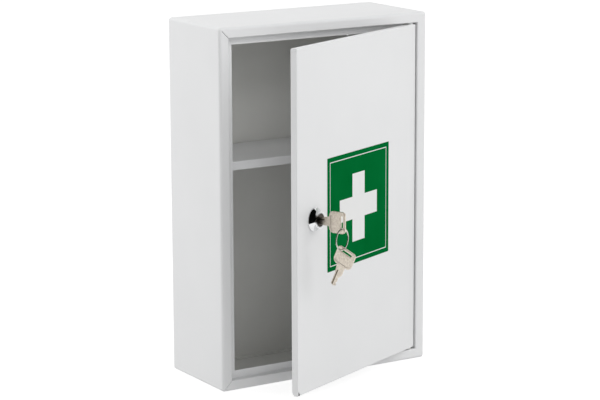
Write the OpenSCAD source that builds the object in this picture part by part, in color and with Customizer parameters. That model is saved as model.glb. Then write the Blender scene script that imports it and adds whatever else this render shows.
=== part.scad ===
// Lockable medicine cabinet: a folded sheet-steel case with a rebated front frame and one
// shelf, and a flush pan door that turns on two pins and closes with a cam lock. A key
// stands in the lock, and a second key hangs from it on a wire ring.
// Millimetres. The origin is the centre of the case's underside: +X is the hinge side,
// -Y the front and +Z up. Door pieces are drawn with the door shut, then swung open.

/* [Case] */
// Outside width of the case
case_w = 240; // [222:2:300]
// Outside height of the case
case_h = 360; // [320:5:440]
// Outside depth of the case
case_d = 100; // [80:1:150]
// Thickness of the sheet that the case, the door and the shelf are folded from
sheet_t = 0.8; // [0.7:0.1:1.0]
// Outside radius of the folds
fold_r = 1.3; // [1.1:0.1:1.5]
// Width of the front flange round the door
flange_w = 10.5; // [9.5:0.5:13]
// Depth of the rebate that the door sinks into, from the flange to the stop lip
rebate_d = 7.7; // [7.5:0.1:8.2]
// Width of the stop lip behind the door's free edge, top and bottom
lip_w = 7.5; // [6:0.5:10]
// Width of the open mitre line at each corner of the front flange
mitre_w = 0.3; // [0.2:0.05:0.5]
// Depth of the mitre line
mitre_depth = 0.45; // [0.3:0.05:0.6]

/* [Back panel] */
// Depth of the back panel's folded edges, which are spot-welded inside the case
back_edge_d = 8; // [6:0.5:12]
// Distance between the wall fixing holes across the panel
wall_hole_dx = 180; // [140:5:200]
// Distance between the wall fixing holes up the panel
wall_hole_dz = 300; // [200:5:300]
// Diameter of a wall fixing hole
wall_hole_dia = 6; // [5:0.5:8]

/* [Shelf] */
// Height of the shelf's upper face above the case's underside
shelf_z = 227; // [120:1:260]
// Height of the shelf's folded front and rear edges
shelf_edge_h = 8.5; // [6:0.5:14]
// Gap between the shelf and the door's swing before it, and the panel behind it
shelf_gap = 1; // [0.5:0.1:2]
// Width of each leg of a shelf rail
rail_leg = 12; // [8:0.5:16]
// Thickness of a shelf rail
rail_t = 1; // [0.9:0.1:1.5]

/* [Door] */
// Gap between the door and the rebate, all round
door_gap = 1.75; // [1.5:0.05:2.2]
// Depth of the door's folded edges, from its front face
door_edge_d = 6.8; // [6.6:0.1:7.2]
// Angle at which the door stands open, from shut
door_rest = 24.5; // [0:0.5:85]

/* [Hinge] */
// Distance from the door's hinge edge to the pin axis
pin_inset = 5; // [4.5:0.1:5.4]
// Distance from the door's front face to the pin axis
pin_depth = 4; // [3.6:0.1:4.2]
// Diameter of a hinge pin
pin_dia = 3; // [2.5:0.1:3.2]
// Length of pin inside the door
pin_reach = 5; // [4:0.5:8]
// Diameter of the pin's riveted head
pin_head_dia = 5.4; // [4.6:0.1:5.4]
// Thickness of the pin's riveted head
pin_head_t = 1.2; // [0.8:0.1:2]
// Outside diameter of a hinge bush
bush_dia = 4.4; // [4.2:0.1:4.6]
// Diameter of the bush's collar
bush_collar_dia = 5.4; // [5:0.1:5.4]
// Gap between the bush's collar and the rebate
bush_gap = 0.3; // [0.1:0.05:0.5]

/* [Sign] */
// Side of the square first-aid sign
sign_w = 112; // [90:1:114]
// Distance of the sign's centre below the middle of the case
sign_drop = 0; // [0:0.5:10]
// Distance from the sign's edge to its white border line
sign_line_inset = 5; // [3:0.1:8]
// Width of the white border line
sign_line_w = 1.1; // [0.6:0.1:2]
// Length of the cross from tip to tip
cross_span = 68; // [50:1:76]
// Width of the arms of the cross
cross_arm = 22.4; // [14:0.2:26]
// Thickness of the white film
film_t = 0.15; // [0.1:0.05:0.3]
// Thickness of the green print on the film
print_t = 0.1; // [0.05:0.05:0.2]

/* [Lock] */
// Distance from the door's free edge to the lock axis
lock_inset = 29.5; // [26:0.5:31]
// Height of the lock axis above the middle of the case
lock_rise = 1; // [0:0.5:10]
// Diameter of the lock's bezel where it meets the door
bezel_dia = 23; // [20:0.5:24]
// Diameter of the bezel's front rim
rim_dia = 17; // [14.6:0.1:17]
// Height of the bezel in front of the door
bezel_h = 7; // [6:0.1:8]
// Depth of the plug's face below the rim
rim_recess = 0.6; // [0.3:0.1:1]
// Diameter of the threaded barrel behind the bezel
barrel_dia = 16; // [15:0.1:17]
// Distance across the barrel's two flats
barrel_flat = 14; // [13.4:0.1:14.6]
// Length of the barrel behind the door's front face
barrel_l = 9; // [9:0.1:9.4]
// Distance across the flats of the ring nut
nut_af = 20; // [18:0.5:22]
// Thickness of the ring nut
nut_t = 4; // [3:0.1:5]
// Thickness of the washer under the nut
washer_t = 0.8; // [0.5:0.1:1.2]
// Diameter of the lock plug
plug_dia = 12; // [11.6:0.1:12.2]
// Diameter of the plug's front shoulder
plug_head_dia = 13; // [12.8:0.1:13.2]
// Length of the plug's front shoulder
plug_head_l = 1.5; // [1:0.1:2]
// Side of the square stub that drives the cam
stub_w = 6.8; // [6:0.1:7.2]
// Length of the cam from the lock axis to its tip
cam_reach = 29; // [27:0.5:32]
// Width of the cam's arm
cam_arm_w = 12; // [9:0.5:14]
// Diameter of the cam's hub
cam_hub_dia = 17; // [15:0.5:19]
// Thickness of the cam
cam_t = 2; // [1.5:0.1:2.5]
// Radius of the corners at the cam's tip
cam_tip_r = 3; // [1:0.5:4]
// Diameter of the cam screw's thread
screw_dia = 4; // [3:0.5:4]
// Diameter of the cam screw's head
screw_head_dia = 7.4; // [6.5:0.1:8]
// Height of the cam screw's head
screw_head_t = 2.4; // [1.8:0.1:3]
// Length of thread inside the plug
screw_reach = 3.2; // [2.5:0.1:3.5]
// Thickness of the washer under the screw's head
screw_washer_t = 0.8; // [0.5:0.1:1]

/* [Wafers] */
// Number of wafers in the plug
wafer_n = 4; // [2:1:4]
// Distance between wafers
wafer_pitch = 2.3; // [2:0.1:2.3]
// Thickness of a wafer
wafer_t = 1.2; // [0.8:0.1:1.3]
// Width of a wafer
wafer_w = 5.4; // [5:0.1:5.6]
// Height of a wafer
wafer_h = 9.6; // [9:0.1:9.8]
// Diameter of a wafer's spring
spring_dia = 1; // [0.8:0.1:1]
// Length of a wafer's spring
spring_l = 3; // [2:0.1:3.2]

/* [Keys] */
// Overall length of a key
key_l = 40; // [38:0.2:41]
// Length of the key's bow
bow_l = 18; // [16:0.5:20]
// Width of the key's bow
bow_w = 21; // [19:0.5:24]
// Radius of the bow's outer corners
bow_r = 3.2; // [2:0.1:5]
// Radius of the bow's corners beside the shank
shoulder_r = 5; // [3:0.1:5.5]
// Width of the shank between the bow and the blade
shank_w = 8.8; // [8:0.2:10]
// Length of blade that enters the lock
blade_in = 11.4; // [10.4:0.1:11.4]
// Width of the blade
blade_w = 5.6; // [5:0.1:6]
// Thickness of a key
key_t = 2; // [1.6:0.1:2]
// Width of the groove along each side of the blade
groove_w = 1.3; // [0.8:0.1:1.6]
// Depth of the groove along each side of the blade
groove_depth = 0.4; // [0.2:0.05:0.5]
// Length of the slot in the bow
slot_l = 13.4; // [11:0.2:14]
// Width of the slot in the bow
slot_w = 2.6; // [2.4:0.1:3]
// Distance from the bow's far end to the middle of the slot
slot_pos = 3.6; // [3.4:0.1:4.5]
// Outside diameter of the key ring
ring_dia = 22; // [20:0.5:30]
// Diameter of the ring's wire
wire_dia = 1.5; // [1.2:0.1:1.6]
// Angle at which the hanging key rests, off plumb
spare_tilt = 25; // [15:1:30]

/* [Clearances] */
// Radial clearance of the pins, the plug and the fixed round fits
run_fit = 0.05; // [0.02:0.01:0.1]
// Gap between welded sheets
weld_gap = 0.05; // [0:0.01:0.1]
// Gap between the shelf's ends and the back panel's folded edges
shelf_end_gap = 0.4; // [0.3:0.1:1]
// Gap between the barrel's rear end and the cam
cam_gap = 0.2; // [0.1:0.05:0.3]
// Gap all round the cam's square hole
stub_gap = 0.1; // [0.05:0.05:0.2]
// Gap all round the key and the wafers in their slots
key_gap = 0.15; // [0.1:0.05:0.2]
// Gap between the ring's wire and the slot that hangs on it
hang_gap = 0.3; // [0.2:0.05:0.4]
// Room left beside the door's hinge edge as it swings past the lips
swing_room = 1.5; // [1:0.1:3]

/* [Hidden] */

// Fineness of round faces, and of the small ones
$fn = 64;
small_fn = 32;
// Overlap that lets a cut run clear of the face it starts from
over = 1;

front_y = -case_d / 2;
back_y = case_d / 2;
mid_z = case_h / 2;
inner_w = case_w - 2 * sheet_t;
inner_h = case_h - 2 * sheet_t;
rebate_w = case_w - 2 * flange_w;
rebate_h = case_h - 2 * flange_w;
rebate_top = case_h - flange_w;
lip_y = front_y + rebate_d;
lip_back_y = lip_y + sheet_t;

// Radius that the rear corner of the door's hinge edge sweeps behind the pin
swing_r = sqrt(pow(pin_inset, 2) + pow(door_edge_d - pin_depth, 2));
pin_y = front_y + pin_depth;

back_w = inner_w - 2 * weld_gap;
back_h = inner_h - 2 * weld_gap;
shelf_front_y = max(lip_back_y, pin_y + swing_r) + shelf_gap;
shelf_back_y = back_y - sheet_t - shelf_gap;
shelf_w = back_w - 2 * sheet_t - 2 * shelf_end_gap;
rail_front_y = shelf_front_y + sheet_t + shelf_gap;
rail_back_y = back_y - back_edge_d - shelf_gap;

// Length of bush beyond the end of the pin
bush_tail = 1;
door_w = rebate_w - 2 * door_gap;
door_h = rebate_h - 2 * door_gap;
pin_x = door_w / 2 - pin_inset;
bush_l = pin_reach + bush_tail;
lip_end_x = pin_x - pin_inset - swing_room;

sign_z = mid_z - sign_drop;
lock_x = -door_w / 2 + lock_inset;
lock_z = mid_z + lock_rise;
plug_face = bezel_h - rim_recess;
cam_front = -barrel_l - cam_gap;
stub_end = cam_front - cam_t;
// The screw's washer overlaps the corners of the stub by this much
washer_overlap = 0.5;
screw_washer_dia = stub_w * sqrt(2) + 2 * washer_overlap;
// Length, width and depth of each slot of the cross in the screw's head
head_slot = [screw_head_dia / 2, screw_head_t / 4, screw_head_t / 2];
// Height of the bezel's foot, and the width of its rim that is rounded off
bezel_foot_h = 0.9;
rim_round = 0.5;
// The plug's body reaches past the key's tip, and the wafers stand evenly along the blade
keyway_end = plug_face - blade_in - 2 * key_gap;
wafer_mid = plug_face - plug_head_l - 0.5 * (blade_in - plug_head_l);
wafer_side = wafer_w / 2 + spring_dia + 2 * key_gap;
// Height of the ear that a wafer's spring pushes on, and of the spring's foot
ear_z = 0.6;
ear_t = 1;
spring_foot = ear_z - spring_l;

key_far = plug_face - blade_in + key_l;
slot_reach = (slot_l - slot_w) / 2;
wire_r = wire_dia / 2;
ring_r = ring_dia / 2 - wire_r;
ring_z = key_far - slot_pos;
hang_drop = slot_w / 2 - wire_r - hang_gap;
ring_top = -slot_reach - hang_drop;
ring_mid = ring_top - ring_r;
spare_pivot = ring_top - 2 * ring_r;
// Depths of the cuts along the blade, how far outside its edge each starts, and its tip's taper
cut_depths = [1.3, 0.7, 1.5, 0.9];
cut_start = 0.25;
tip_taper = 1.4;

steel_white = [0.9, 0.91, 0.91];
zinc_grey = [0.72, 0.73, 0.74];
chrome = [0.8, 0.81, 0.82];
nickel = [0.78, 0.75, 0.68];

// Rectangle with four round corners, centred
module round_rect(w, h, r) {
    square([w - 2 * r, h], center = true);
    square([w, h - 2 * r], center = true);
    for (sx = [-1, 1], sy = [-1, 1])
        translate([sx * (w / 2 - r), sy * (h / 2 - r)]) circle(r, $fn = small_fn);
}

// Rectangle from y = 0 to d whose two corners at y = 0 are round
module front_round_rect(w, d, r) {
    translate([-w / 2, r]) square([w, d - r]);
    translate([-w / 2 + r, 0]) square([w - 2 * r, d]);
    for (sx = [-1, 1])
        translate([sx * (w / 2 - r), r]) circle(r, $fn = small_fn);
}

// Solid block whose front edges are folded over all round, centred on x and z
module folded_block(w, d, h, r) {
    intersection() {
        translate([0, 0, -h / 2]) linear_extrude(h) front_round_rect(w, d, r);
        rotate([0, -90, 0]) translate([0, 0, -w / 2])
            linear_extrude(w) front_round_rect(h, d, r);
    }
}

// Box given by its low corner and its high corner
module span(low, high) {
    translate(low) cube(high - low);
}

// Swings what is drawn with the door shut to the angle at which the door rests
module on_door() {
    translate([pin_x, pin_y, 0]) rotate([0, 0, door_rest])
        translate([-pin_x, -pin_y, 0]) children();
}

// Lock frame: x across the door, y up, z out of the door's front face
module on_lock() {
    on_door() translate([lock_x, front_y, lock_z]) rotate([90, 0, 0]) children();
}

// Places a hinge piece drawn at the top of the door at its foot as well
module at_foot() {
    translate([0, 0, case_h]) mirror([0, 0, 1]) children();
}

module case_shell() {
    difference() {
        intersection() {
            translate([0, front_y, mid_z]) folded_block(case_w, case_d, case_h, fold_r);
            translate([0, back_y, mid_z]) rotate([90, 0, 0])
                linear_extrude(case_d) round_rect(case_w, case_h, fold_r);
        }
        span([-inner_w / 2, front_y + sheet_t, sheet_t],
             [inner_w / 2, back_y + over, case_h - sheet_t]);
        span([-rebate_w / 2, front_y - over, flange_w],
             [rebate_w / 2, front_y + sheet_t + over, rebate_top]);
    }
}

// The rebate's four walls, which turn back from the flange
module rebate_walls() {
    difference() {
        span([-rebate_w / 2 - sheet_t, front_y, flange_w - sheet_t],
             [rebate_w / 2 + sheet_t, lip_back_y, rebate_top + sheet_t]);
        span([-rebate_w / 2, front_y - over, flange_w],
             [rebate_w / 2, lip_back_y + over, rebate_top]);
    }
}

// The stop lip runs along the free side, the top and the bottom, and leaves the hinge side open
module stop_lip() {
    span([-rebate_w / 2, lip_y, flange_w], [-rebate_w / 2 + lip_w, lip_back_y, rebate_top]);
    for (low = [flange_w, rebate_top - lip_w])
        span([-rebate_w / 2, lip_y, low], [lip_end_x, lip_back_y, low + lip_w]);
}

module mitre_lines() {
    line_l = flange_w * sqrt(2) + 2 * over;
    for (sx = [-1, 1], sz = [-1, 1])
        translate([sx * (case_w - flange_w) / 2, front_y, mid_z + sz * (case_h - flange_w) / 2])
            rotate([0, -sx * sz * 45, 0])
                cube([line_l, 2 * mitre_depth, mitre_w], center = true);
}

module pin_hole() {
    translate([pin_x, pin_y, rebate_top - over])
        cylinder(r = pin_dia / 2 + run_fit, h = sheet_t + 2 * over, $fn = small_fn);
}

module case_wrap() {
    color(steel_white) difference() {
        union() {
            case_shell();
            rebate_walls();
            stop_lip();
        }
        mitre_lines();
        pin_hole();
        at_foot() pin_hole();
    }
}

module back_panel() {
    color(steel_white) difference() {
        span([-back_w / 2, back_y - back_edge_d, mid_z - back_h / 2],
             [back_w / 2, back_y, mid_z + back_h / 2]);
        span([-back_w / 2 + sheet_t, back_y - back_edge_d - over, mid_z - back_h / 2 + sheet_t],
             [back_w / 2 - sheet_t, back_y - sheet_t, mid_z + back_h / 2 - sheet_t]);
        for (sx = [-1, 1], sz = [-1, 1])
            translate([sx * wall_hole_dx / 2, back_y + over, mid_z + sz * wall_hole_dz / 2])
                rotate([90, 0, 0]) cylinder(d = wall_hole_dia, h = sheet_t + 2 * over);
    }
}

module shelf() {
    color(steel_white) difference() {
        span([-shelf_w / 2, shelf_front_y, shelf_z - shelf_edge_h],
             [shelf_w / 2, shelf_back_y, shelf_z]);
        span([-shelf_w / 2 - over, shelf_front_y + sheet_t, shelf_z - shelf_edge_h - over],
             [shelf_w / 2 + over, shelf_back_y - sheet_t, shelf_z - sheet_t]);
    }
}

// Angle welded to the side of the case, drawn for the hinge side
module shelf_rail() {
    rail_top = shelf_z - sheet_t;
    color(steel_white) difference() {
        span([inner_w / 2 - rail_leg, rail_front_y, rail_top - rail_leg],
             [inner_w / 2, rail_back_y, rail_top]);
        span([inner_w / 2 - rail_leg - over, rail_front_y - over, rail_top - rail_leg - over],
             [inner_w / 2 - rail_t, rail_back_y + over, rail_top - rail_t]);
    }
}

module shelf_rail_right() {
    shelf_rail();
}

module shelf_rail_left() {
    mirror([1, 0, 0]) shelf_rail();
}

// Steel pin, riveted through the rebate's top wall
module hinge_pin() {
    pin_l = door_gap + pin_reach + sheet_t;
    color(zinc_grey) translate([pin_x, pin_y, rebate_top + sheet_t]) {
        translate([0, 0, -pin_l]) cylinder(d = pin_dia, h = pin_l + pin_head_t, $fn = small_fn);
        cylinder(d = pin_head_dia, h = pin_head_t, $fn = small_fn);
    }
}

module hinge_pin_upper() {
    hinge_pin();
}

module hinge_pin_lower() {
    at_foot() hinge_pin();
}

// Plastic bush with a collar, pushed into the door's top edge
module hinge_bush() {
    color("ivory") translate([pin_x, pin_y, rebate_top - door_gap]) difference() {
        union() {
            cylinder(d = bush_collar_dia, h = door_gap - bush_gap, $fn = small_fn);
            translate([0, 0, -bush_l])
                cylinder(d = bush_dia, h = bush_l + door_gap - bush_gap, $fn = small_fn);
        }
        translate([0, 0, -bush_l - over])
            cylinder(r = pin_dia / 2 + run_fit, h = bush_l + door_gap + 2 * over, $fn = small_fn);
    }
}

module hinge_bush_upper() {
    hinge_bush();
}

module hinge_bush_lower() {
    at_foot() hinge_bush();
}

module bush_hole() {
    translate([pin_x, pin_y, rebate_top - door_gap - sheet_t - over])
        cylinder(r = bush_dia / 2 + run_fit, h = sheet_t + 2 * over, $fn = small_fn);
}

// Round section with two flats, as the barrel and its holes have
module double_flat(r, flat, h) {
    intersection() {
        cylinder(r = r, h = h);
        translate([-flat / 2, -r, 0]) cube([flat, 2 * r, h]);
    }
}

module door_panel() {
    color(steel_white) on_door() difference() {
        translate([0, front_y, mid_z]) folded_block(door_w, door_edge_d, door_h, fold_r);
        span([-door_w / 2 + sheet_t, front_y + sheet_t, mid_z - door_h / 2 + sheet_t],
             [door_w / 2 - sheet_t, front_y + door_edge_d + over, mid_z + door_h / 2 - sheet_t]);
        bush_hole();
        at_foot() bush_hole();
        translate([lock_x, front_y + sheet_t + over, lock_z]) rotate([90, 0, 0])
            double_flat(barrel_dia / 2 + run_fit, barrel_flat + 2 * run_fit, sheet_t + 2 * over);
    }
}

// Square plate on the door's front face, from one height above it to another
module sign_plate(side, low, high) {
    translate([-side / 2, front_y - high, sign_z - side / 2]) cube([side, high - low, side]);
}

module sign_film() {
    color("white") on_door() sign_plate(sign_w, 0, film_t);
}

module sign_print() {
    top = film_t + print_t;
    line_outer = sign_w - 2 * sign_line_inset;
    line_inner = line_outer - 2 * sign_line_w;
    color("green") on_door() {
        difference() {
            sign_plate(sign_w, film_t, top);
            sign_plate(line_outer, film_t - over, top + over);
        }
        difference() {
            sign_plate(line_inner, film_t, top);
            for (size = [[cross_span, cross_arm], [cross_arm, cross_span]])
                translate([-size[0] / 2, front_y - top - over, sign_z - size[1] / 2])
                    cube([size[0], print_t + 2 * over, size[1]]);
        }
    }
}

// Chromed zinc housing: a cone-shaped bezel and a threaded barrel with two flats
module lock_housing() {
    base_r = bezel_dia / 2;
    rim_r = rim_dia / 2;
    color(chrome) on_lock() difference() {
        union() {
            rotate_extrude() polygon([[0, 0], [base_r, 0], [base_r, bezel_foot_h],
                [rim_r, bezel_h - rim_round], [rim_r - rim_round, bezel_h], [0, bezel_h]]);
            translate([0, 0, -barrel_l])
                double_flat(barrel_dia / 2, barrel_flat, barrel_l + over);
        }
        translate([0, 0, -barrel_l - over])
            cylinder(r = plug_dia / 2 + run_fit, h = barrel_l + bezel_h + 2 * over);
        translate([0, 0, plug_face - plug_head_l - run_fit])
            cylinder(r = plug_head_dia / 2 + run_fit, h = bezel_h);
    }
}

module lock_washer() {
    color(zinc_grey) on_lock() translate([0, 0, -sheet_t - washer_t]) difference() {
        cylinder(r = nut_af / 2, h = washer_t);
        translate([0, 0, -over])
            double_flat(barrel_dia / 2 + run_fit, barrel_flat + 2 * run_fit, washer_t + 2 * over);
    }
}

module lock_nut() {
    color(zinc_grey) on_lock() translate([0, 0, -sheet_t - washer_t - nut_t]) difference() {
        cylinder(r = nut_af / 2 / cos(30), h = nut_t, $fn = 6);
        translate([0, 0, -over]) cylinder(r = barrel_dia / 2 + run_fit, h = nut_t + 2 * over);
    }
}

// Place of each wafer along the lock axis
function wafer_at(i) = wafer_mid - (i - (wafer_n - 1) / 2) * wafer_pitch;

module lock_plug() {
    way_w = key_t + 2 * key_gap;
    way_h = blade_w + 2 * key_gap;
    seat_t = wafer_t + key_gap;
    color(zinc_grey) on_lock() difference() {
        union() {
            translate([0, 0, cam_front]) cylinder(d = plug_dia, h = plug_face - cam_front);
            translate([0, 0, plug_face - plug_head_l])
                cylinder(d = plug_head_dia, h = plug_head_l);
            span([-stub_w / 2, -stub_w / 2, stub_end + stub_gap],
                 [stub_w / 2, stub_w / 2, cam_front + over]);
        }
        span([-way_w / 2, -way_h / 2, keyway_end], [way_w / 2, way_h / 2, plug_face + over]);
        for (i = [0 : wafer_n - 1]) translate([0, 0, wafer_at(i) - seat_t / 2]) {
            span([-wafer_w / 2 - key_gap, -plug_dia, 0],
                 [wafer_w / 2 + key_gap, plug_dia, seat_t]);
            span([0, spring_foot, 0], [wafer_side, ear_z + ear_t + key_gap, seat_t]);
        }
        translate([0, 0, stub_end - over])
            cylinder(r = screw_dia / 2 + run_fit, h = screw_reach + cam_t + over + run_fit,
                     $fn = small_fn);
    }
}

// Brass wafers with a window for the blade and an ear for the spring
module wafers() {
    window_w = key_t + 2 * key_gap;
    window_h = blade_w + 2 * key_gap;
    color("goldenrod") on_lock() for (i = [0 : wafer_n - 1])
        translate([0, 0, wafer_at(i) - wafer_t / 2]) difference() {
            union() {
                span([-wafer_w / 2, -wafer_h / 2, 0], [wafer_w / 2, wafer_h / 2, wafer_t]);
                span([0, ear_z, 0], [wafer_side - key_gap, ear_z + ear_t, wafer_t]);
            }
            span([-window_w / 2, -window_h / 2, -over], [window_w / 2, window_h / 2, wafer_t + over]);
        }
}

// Each spring is drawn as the tube that its coils fill
module wafer_springs() {
    color("silver") on_lock() for (i = [0 : wafer_n - 1])
        translate([wafer_side - key_gap - spring_dia / 2, ear_z, wafer_at(i)]) rotate([90, 0, 0])
            difference() {
                cylinder(d = spring_dia, h = spring_l, $fn = small_fn);
                translate([0, 0, -over])
                    cylinder(d = spring_dia / 2, h = spring_l + 2 * over, $fn = small_fn);
            }
}

// Flat steel lever, pointing down while the lock is open
module lock_cam() {
    hole_w = stub_w + 2 * stub_gap;
    color(zinc_grey) on_lock() translate([0, 0, stub_end]) difference() {
        union() {
            cylinder(d = cam_hub_dia, h = cam_t);
            translate([0, -cam_reach / 2, 0]) linear_extrude(cam_t)
                round_rect(cam_arm_w, cam_reach, cam_tip_r);
        }
        translate([-hole_w / 2, -hole_w / 2, -over]) cube([hole_w, hole_w, cam_t + 2 * over]);
    }
}

module cam_washer() {
    color("silver") on_lock() translate([0, 0, stub_end - screw_washer_t]) difference() {
        cylinder(d = screw_washer_dia, h = screw_washer_t);
        translate([0, 0, -over])
            cylinder(r = screw_dia / 2 + run_fit, h = screw_washer_t + 2 * over, $fn = small_fn);
    }
}

module cam_screw() {
    head_low = stub_end - screw_washer_t - screw_head_t;
    color("silver") on_lock() difference() {
        union() {
            translate([0, 0, head_low]) cylinder(d = screw_head_dia, h = screw_head_t);
            translate([0, 0, head_low])
                cylinder(d = screw_dia, h = screw_head_t + screw_washer_t + cam_t + screw_reach,
                         $fn = small_fn);
        }
        for (turn = [0, 90]) rotate([0, 0, turn])
            translate([-head_slot[0] / 2, -head_slot[1] / 2, head_low - over])
                cube([head_slot[0], head_slot[1], over + head_slot[2]]);
    }
}

// Outline of the bow, from its far end at x = 0
module bow_outline() {
    for (sy = [-1, 1]) {
        translate([bow_r, sy * (bow_w / 2 - bow_r)]) circle(bow_r, $fn = small_fn);
        translate([bow_l - shoulder_r, sy * (bow_w / 2 - shoulder_r)])
            circle(shoulder_r, $fn = small_fn);
    }
    translate([bow_r, -bow_w / 2]) square([bow_l - bow_r - shoulder_r, bow_w]);
    translate([0, -bow_w / 2 + bow_r]) square([bow_l / 2, bow_w - 2 * bow_r]);
    translate([bow_l / 2, -bow_w / 2 + shoulder_r]) square([bow_l / 2, bow_w - 2 * shoulder_r]);
}

// Flat outline of a key along +X, its bow, shank and blade all centred on the x axis
module key_outline() {
    blade_start = key_l - blade_in;
    edge = blade_w / 2;
    cut_step = (blade_in - plug_head_l) / len(cut_depths);
    difference() {
        union() {
            bow_outline();
            translate([bow_l - over, -shank_w / 2])
                square([blade_start - bow_l + over, shank_w]);
            polygon([[blade_start - over, -edge], [key_l - tip_taper, -edge], [key_l, 0],
                     [key_l - tip_taper, edge], [blade_start - over, edge]]);
        }
        for (sy = [-1, 1])
            translate([slot_pos, sy * slot_reach]) circle(d = slot_w, $fn = small_fn);
        translate([slot_pos - slot_w / 2, -slot_reach]) square([slot_w, 2 * slot_reach]);
        for (i = [0 : len(cut_depths) - 1])
            translate([blade_start + plug_head_l + (i + 0.5) * cut_step, -edge])
                polygon([[-cut_depths[i], -cut_start], [0, cut_depths[i]],
                         [cut_depths[i], -cut_start]]);
    }
}

// Nickel-plated key: a stamped plate with a groove milled along both sides of its blade
module key_solid() {
    groove_start = bow_l + (key_l - blade_in - bow_l) / 2;
    color(nickel) difference() {
        translate([0, 0, -key_t / 2]) linear_extrude(key_t) key_outline();
        for (sz = [-1, 1])
            translate([groove_start, -groove_w / 2, sz * key_t / 2 - groove_depth])
                cube([key_l, groove_w, 2 * groove_depth]);
    }
}

module lock_key() {
    on_lock() translate([0, 0, key_far]) rotate([0, 90, 0]) key_solid();
}

module key_ring() {
    color(nickel) on_lock() translate([0, ring_mid, ring_z])
        rotate_extrude() translate([ring_r, 0]) circle(wire_r, $fn = small_fn);
}

// The hanging key bears on the ring at one end of its slot
module spare_key() {
    on_lock() translate([0, spare_pivot - hang_drop, ring_z])
        rotate([spare_tilt - 90, 0, 0]) rotate([0, 90, 0])
            translate([-slot_pos, -slot_reach, 0]) key_solid();
}

case_wrap();
back_panel();
shelf();
shelf_rail_left();
shelf_rail_right();
hinge_pin_upper();
hinge_pin_lower();
door_panel();
hinge_bush_upper();
hinge_bush_lower();
sign_film();
sign_print();
lock_housing();
lock_washer();
lock_nut();
lock_plug();
lock_cam();
cam_washer();
cam_screw();
wafers();
wafer_springs();
lock_key();
key_ring();
spare_key();
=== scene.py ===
import math

import bmesh
import bpy
from mathutils import Matrix, Vector


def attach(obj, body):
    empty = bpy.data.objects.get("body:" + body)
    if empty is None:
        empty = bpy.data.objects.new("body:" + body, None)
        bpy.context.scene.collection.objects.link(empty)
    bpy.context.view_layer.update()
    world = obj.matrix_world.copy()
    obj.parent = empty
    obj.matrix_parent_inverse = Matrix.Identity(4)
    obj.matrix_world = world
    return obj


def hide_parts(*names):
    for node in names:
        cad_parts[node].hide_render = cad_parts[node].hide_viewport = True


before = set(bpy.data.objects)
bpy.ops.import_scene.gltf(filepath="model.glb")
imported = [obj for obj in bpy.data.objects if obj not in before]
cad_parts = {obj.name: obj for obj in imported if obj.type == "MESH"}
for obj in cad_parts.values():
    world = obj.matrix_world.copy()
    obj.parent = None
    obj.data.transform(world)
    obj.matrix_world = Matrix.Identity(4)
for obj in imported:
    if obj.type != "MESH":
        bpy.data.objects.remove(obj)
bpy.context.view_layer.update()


# ---------------------------------------------------------------- Case
# The case is one sheet of 0.8 mm steel folded round into a box. Its front edges turn in as a
# mitred flange, then back as the rebate that the door sinks into. White powder coat, which has
# closed the mitres on the hinge side. Inside, it is a little darker and warmer: painted shade.

MM = 0.001
MERGE = 0.00002
SHEET = 0.8
CASE_FOLD, FOLD = 3.0, 1.3
CASE_W, CASE_H, CASE_D = 240, 360, 100
FRONT, BACK = -CASE_D / 2, CASE_D / 2
MIDDLE = CASE_H / 2
FLANGE = 10.5
REBATE_FOLD = 0.9
REBATE_MID = -46
LIP_FACE, LIP_BACK = -42.3, -41.5
RAW_EDGE = 0.15
MITRE, MITRE_DEPTH = 0.4, 0.65
SEAM, STEEP = 0.4, 2
HINGE_SIDE_FILL = 0.85


def shift(x, y, z):
    """A move given in millimetres."""
    return Matrix.Translation(Vector((x, y, z)) * MM)


def turn(degrees, axis):
    return Matrix.Rotation(math.radians(degrees), 4, axis)


def arc(cx, cy, radius, start, end, steps=6):
    """Points on an arc about (cx, cy), from one angle to another."""
    angles = [math.radians(start + (end - start) * i / steps) for i in range(steps + 1)]
    return [(cx + radius * math.cos(a), cy + radius * math.sin(a)) for a in angles]


def folded_ring(
    width, height, inset, y, spread, corner=0.0, sink=(0.0, 0.0), trim=None, filled=0.0
):
    """Points round a sheet-metal box, that far in from its outline and that far back. Each corner
    is an arc, or has a point at each distance in spread; sink opens the seam at its middle, and
    filled is the share by which paint closes it on the hinge side."""
    points = []
    radius = corner - inset
    seam = spread[-1] if corner else SEAM
    for sx, sz in ((1, 1), (-1, 1), (-1, -1), (1, -1)):
        tip = Vector((sx * (width / 2 - inset), y, sz * (height / 2 - inset)))
        come, leave = (
            (Vector((0, 0, sz)), Vector((-sx, 0, 0)))
            if sx * sz > 0
            else (Vector((sx, 0, 0)), Vector((0, 0, -sz)))
        )
        inward = Vector((-sx, 0, -sz)).normalized()
        for i, s in enumerate(spread):
            if radius > seam:
                a = math.pi / 2 * i / (len(spread) - 1)
                bend = (leave - come) + (come * math.sin(a) - leave * math.cos(a))
                points.append(tip + bend * radius)
                continue
            point = tip + (come if s < 0 else leave) * s
            depth = max(0.0, min(1.0, STEEP * (1 - abs(s) / seam)))
            if sx > 0:
                depth *= 1 - filled
            point += inward * sink[0] * depth + Vector((0, sink[1] * depth, 0))
            if trim:
                point.y -= trim(abs(s), sz)
            points.append(point)
    return points


def skin(rings, closed, bands=None):
    """A mesh over rings of points, closed into a loop of rings or capped at both ends."""
    mesh = bmesh.new()
    rows = [[mesh.verts.new(p) for p in ring] for ring in rings]
    for i in range(len(rows) - (0 if closed else 1)):
        here, there = rows[i], rows[(i + 1) % len(rows)]
        for k in range(len(here)):
            m = (k + 1) % len(here)
            face = mesh.faces.new((here[k], here[m], there[m], there[k]))
            face.material_index = bands[i] if bands else 0
    if not closed:
        for row, band in ((rows[0], 0), (rows[-1], -1)):
            mesh.faces.new(row).material_index = bands[band] if bands else 0
    return mesh


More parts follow.
